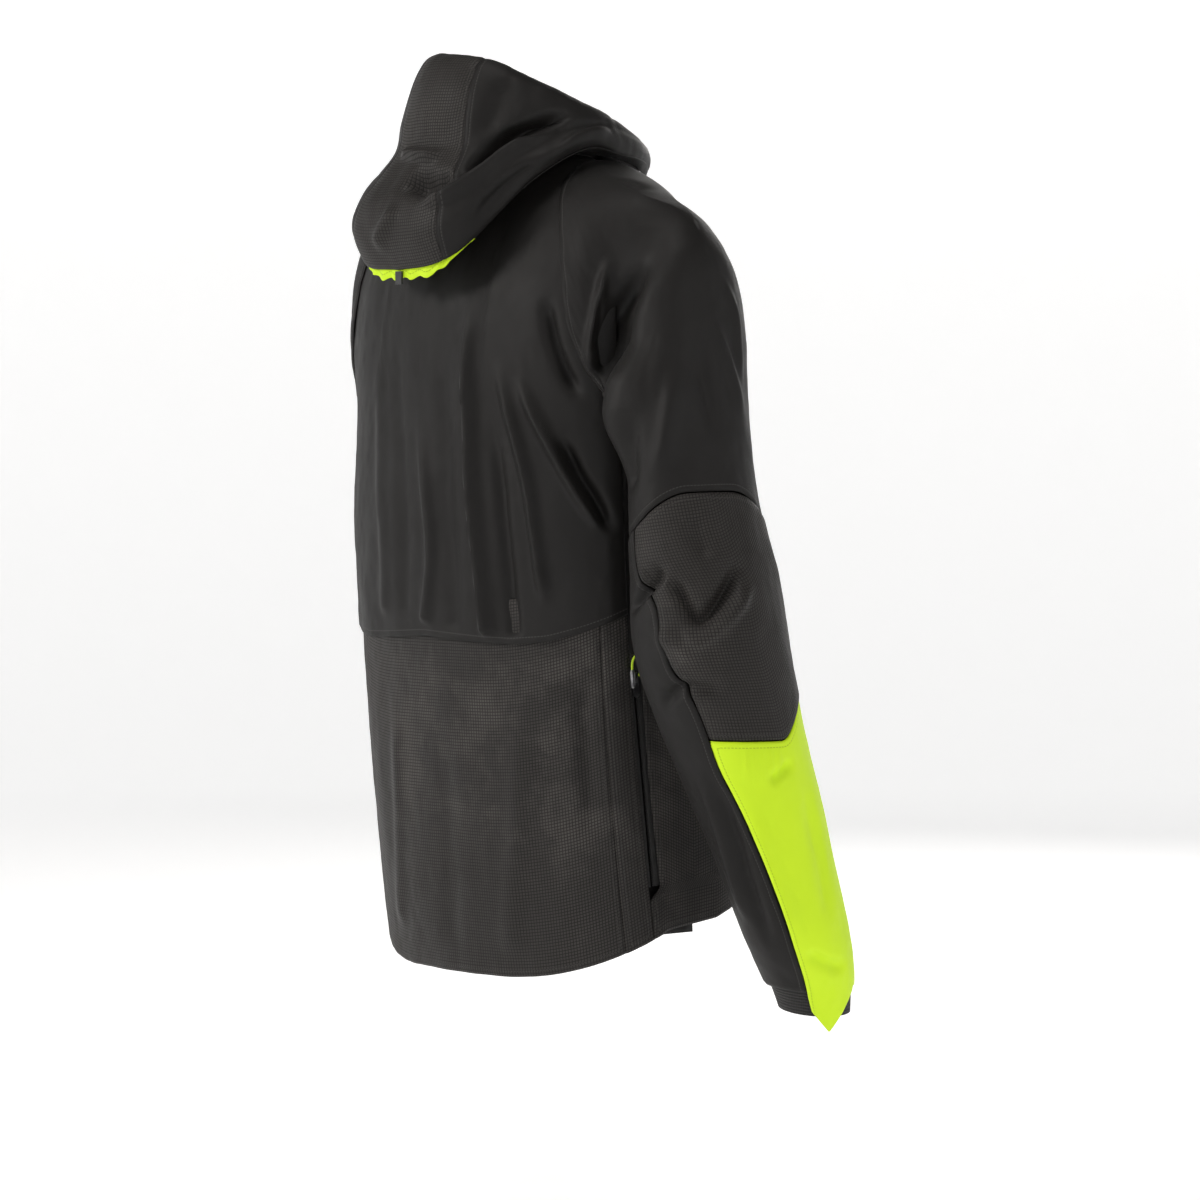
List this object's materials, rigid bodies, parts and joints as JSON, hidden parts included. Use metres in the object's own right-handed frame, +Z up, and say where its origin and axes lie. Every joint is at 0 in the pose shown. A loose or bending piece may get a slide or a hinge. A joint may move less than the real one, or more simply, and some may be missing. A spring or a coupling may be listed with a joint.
{
  "type": "hooded shell jacket",
  "caption": "Hooded waterproof cycling shell jacket in worn shape, with a vented back cape, zipped front and pockets, shaped sleeves and a hood laid back.",
  "frame": {"origin": "where a hook takes the hanger loop, at the nape inside the collar", "axes": "+Z up along the hanging direction, front towards -Y, wearer's left towards +X"},
  "size_m": [0.6784, 0.4406, 0.8853],
  "materials": {
    "shell_fabric": "matte black plain-woven waterproof shell",
    "grid_fabric": "dark grey fine grid weave with faint cloudy sheen",
    "neon_fabric": "fluorescent yellow plain weave, matte",
    "elastic": "black ribbed elastic",
    "cord": "black braided cord and ribbon",
    "zip_tape": "black coated zip tape",
    "plastic": "black moulded plastic, satin",
    "zip_metal": "dark gunmetal painted die-cast zinc"
  },
  "bodies": {
    "jacket_shell": {"back_lower_panel": "grid_fabric", "back_cape": "shell_fabric", "pocket_welt_left": "grid_fabric", "side_panel_left": "grid_fabric", "underarm_panel_left": "shell_fabric", "front_lower_panel_left": "grid_fabric", "front_upper_panel_left": "shell_fabric", "pocket_welt_right": "grid_fabric", "side_panel_right": "grid_fabric", "underarm_panel_right": "shell_fabric", "front_lower_panel_right": "grid_fabric", "front_upper_panel_right": "shell_fabric", "collar_outer": "shell_fabric", "collar_lining": "neon_fabric", "hood_centre_panel": "grid_fabric", "hood_side_left": "shell_fabric", "hood_side_right": "shell_fabric", "hood_lining": "shell_fabric", "hood_lower_facing": "neon_fabric", "hood_adjuster_tab": "plastic", "front_zip_tape_a": "zip_tape", "front_zip_tape_b": "zip_tape", "front_zip_bottom_stop": "zip_metal", "pocket_zip_left_tape_a": "zip_tape", "pocket_zip_left_tape_b": "zip_tape", "pocket_zip_right_tape_a": "zip_tape", "pocket_zip_right_tape_b": "zip_tape", "front_storm_flap": "shell_fabric", "hanger_loop": "cord", "hood_drawcord_left": "cord", "drawcord_end_left": "plastic", "hood_drawcord_right": "cord", "drawcord_end_right": "plastic"},
    "vent_flap": {"back_vent_flap": "shell_fabric"},
    "sleeve_left": {"sleeve_upper_left": "shell_fabric", "sleeve_elbow_panel_left": "grid_fabric", "sleeve_forearm_panel_left": "neon_fabric", "sleeve_under_panel_left": "shell_fabric", "sleeve_cuff_left": "elastic"},
    "sleeve_right": {"sleeve_upper_right": "shell_fabric", "sleeve_elbow_panel_right": "grid_fabric", "sleeve_forearm_panel_right": "neon_fabric", "sleeve_under_panel_right": "shell_fabric", "sleeve_cuff_right": "elastic"},
    "front_slider": {"front_zip_slider": "zip_metal"},
    "front_pull": {"front_zip_pull": "zip_metal"},
    "pocket_slider_left": {"pocket_zip_left_slider": "zip_metal"},
    "pocket_pull_left": {"pocket_zip_left_pull": "plastic"},
    "lock_left": {"cord_lock_left": "plastic"},
    "lock_button_left": {"cord_lock_button_left": "plastic"},
    "pocket_slider_right": {"pocket_zip_right_slider": "zip_metal"},
    "pocket_pull_right": {"pocket_zip_right_pull": "plastic"},
    "lock_right": {"cord_lock_right": "plastic"},
    "lock_button_right": {"cord_lock_button_right": "plastic"}
  },
  "joints": [
    {"name": "vent_flap_lift", "type": "hinge", "parent": "jacket_shell", "child": "vent_flap", "pos_m": [0, 0.0806, -0.33], "axis": [1, 0, 0], "range_deg": [0, 25]},
    {"name": "sleeve_swing_left", "type": "hinge", "parent": "jacket_shell", "child": "sleeve_left", "pos_m": [0.2, -0.053, -0.175], "axis": [1, 0, 0], "range_deg": [-30, 15]},
    {"name": "sleeve_swing_right", "type": "hinge", "parent": "jacket_shell", "child": "sleeve_right", "pos_m": [-0.2, -0.053, -0.175], "axis": [1, 0, 0], "range_deg": [-35, 15]},
    {"name": "front_zip_slide", "type": "slide", "parent": "jacket_shell", "child": "front_slider", "axis": [0, -0.0951, -0.9955], "range_m": [0, 0.65]},
    {"name": "front_pull_flip", "type": "hinge", "parent": "front_slider", "child": "front_pull", "pos_m": [0, -0.15897, 0.00842], "axis": [-1, 0, 0], "range_deg": [0, 150]},
    {"name": "pocket_zip_slide_left", "type": "slide", "parent": "jacket_shell", "child": "pocket_slider_left", "axis": [-0.0049, -0.119, -0.9929], "range_m": [0, 0.182]},
    {"name": "pocket_pull_flip_left", "type": "hinge", "parent": "pocket_slider_left", "child": "pocket_pull_left", "pos_m": [0.18388, -0.01983, -0.46699], "axis": [0.128, -0.9848, 0.1174], "range_deg": [0, 60]},
    {"name": "pocket_zip_slide_right", "type": "slide", "parent": "jacket_shell", "child": "pocket_slider_right", "axis": [0.0049, -0.119, -0.9929], "range_m": [0, 0.182]},
    {"name": "pocket_pull_flip_right", "type": "hinge", "parent": "pocket_slider_right", "child": "pocket_pull_right", "pos_m": [-0.18388, -0.01983, -0.46699], "axis": [0.128, 0.9848, -0.1174], "range_deg": [0, 60]},
    {"name": "lock_slide_left", "type": "slide", "parent": "jacket_shell", "child": "lock_left", "axis": [-0.9781, 0.2079, 0], "range_m": [0, 0.0034]},
    {"name": "lock_press_left", "type": "slide", "parent": "lock_left", "child": "lock_button_left", "axis": [0, 0, -1], "range_m": [0, 0.0013], "stiffness_N_per_m": 250, "springref_m": -0.0005},
    {"name": "lock_slide_right", "type": "slide", "parent": "jacket_shell", "child": "lock_right", "axis": [0.9781, 0.2079, 0], "range_m": [0, 0.0034]},
    {"name": "lock_press_right", "type": "slide", "parent": "lock_right", "child": "lock_button_right", "axis": [0, 0, -1], "range_m": [0, 0.0013], "stiffness_N_per_m": 250, "springref_m": -0.0005}
  ]
}
